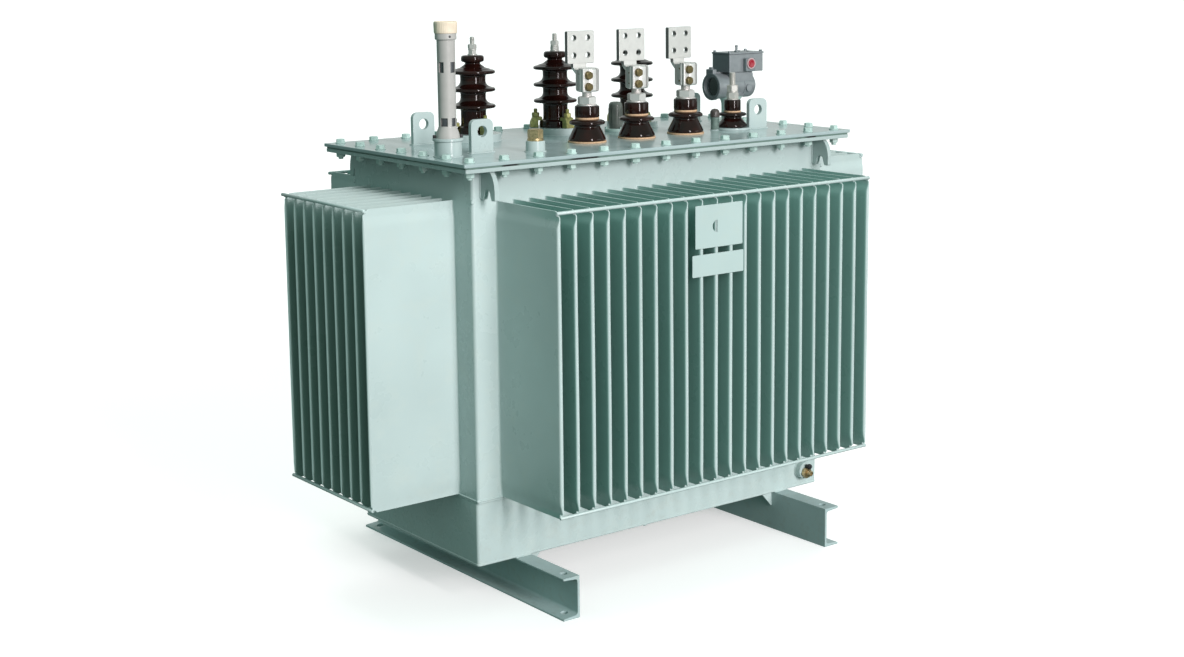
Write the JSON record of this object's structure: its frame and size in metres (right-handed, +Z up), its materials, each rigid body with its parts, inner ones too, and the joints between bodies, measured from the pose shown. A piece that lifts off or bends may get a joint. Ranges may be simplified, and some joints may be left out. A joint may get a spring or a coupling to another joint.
{
  "type": "oil-immersed distribution transformer",
  "caption": "Sealed oil-immersed distribution transformer: corrugated tank on skid channels, bolted cover with high- and low-voltage bushings, oil gauge and protection relay.",
  "frame": {"origin": "centre of the four foundation holes, on the floor", "axes": "+X along the long front, towards the relay; -Y is the low-voltage front with the nameplates; +Z up"},
  "size_m": [1.552, 0.996, 1.348],
  "materials": {
    "tank_paint": "semi-gloss enamel",
    "porcelain": "gloss glaze",
    "seal_tan": "matt",
    "seal_black": "matt",
    "tinned_metal": "dull tinned",
    "zinc_yellow": "yellow passivated",
    "gauge_grey": "matt",
    "cap_cream": "matt",
    "relay_grey": "satin on a casting",
    "brass_fitting": "worn",
    "black_plastic": "satin",
    "dark_glass": "clear",
    "button_red": "gloss",
    "core_block": "plain"
  },
  "bodies": {
    "root": {"skid_left": "tank_paint", "skid_right": "tank_paint", "skid_gussets": "tank_paint", "base_pan": "tank_paint", "drain_valve": "brass_fitting", "front_wall": "tank_paint", "rear_wall": "tank_paint", "left_wall": "tank_paint", "right_wall": "tank_paint", "front_fins": "tank_paint", "rear_fins": "tank_paint", "left_fins": "tank_paint", "right_fins": "tank_paint", "fin_tie_rods": "tank_paint", "top_frame": "tank_paint", "cover_gasket": "seal_black", "cover": "tank_paint", "core_and_oil": "core_block", "tank_hooks": "tank_paint", "lifting_lugs": "tank_paint", "hv_turrets": "tank_paint", "hv_insulators": "porcelain", "hv_studs": "tinned_metal", "hv_clamps": "zinc_yellow", "lv_gaskets": "seal_tan", "lv_insulators": "porcelain", "lv_studs": "tinned_metal", "lv_flags": "tinned_metal", "lv_clamp_bolts": "brass_fitting", "neutral_pad": "tank_paint", "neutral_insulator": "porcelain", "neutral_stud": "tinned_metal", "gauge_stub": "tank_paint", "oil_gauge": "gauge_grey", "gauge_cap": "cap_cream", "relay_neck": "tank_paint", "relay_body": "relay_grey", "relay_glass": "dark_glass", "relay_box": "relay_grey", "relay_button": "button_red", "filler_boss": "tank_paint", "filler_plug": "brass_fitting", "vent_valve": "tank_paint", "tap_changer": "tank_paint", "nameplates": "tank_paint"}
  },
  "joints": []
}
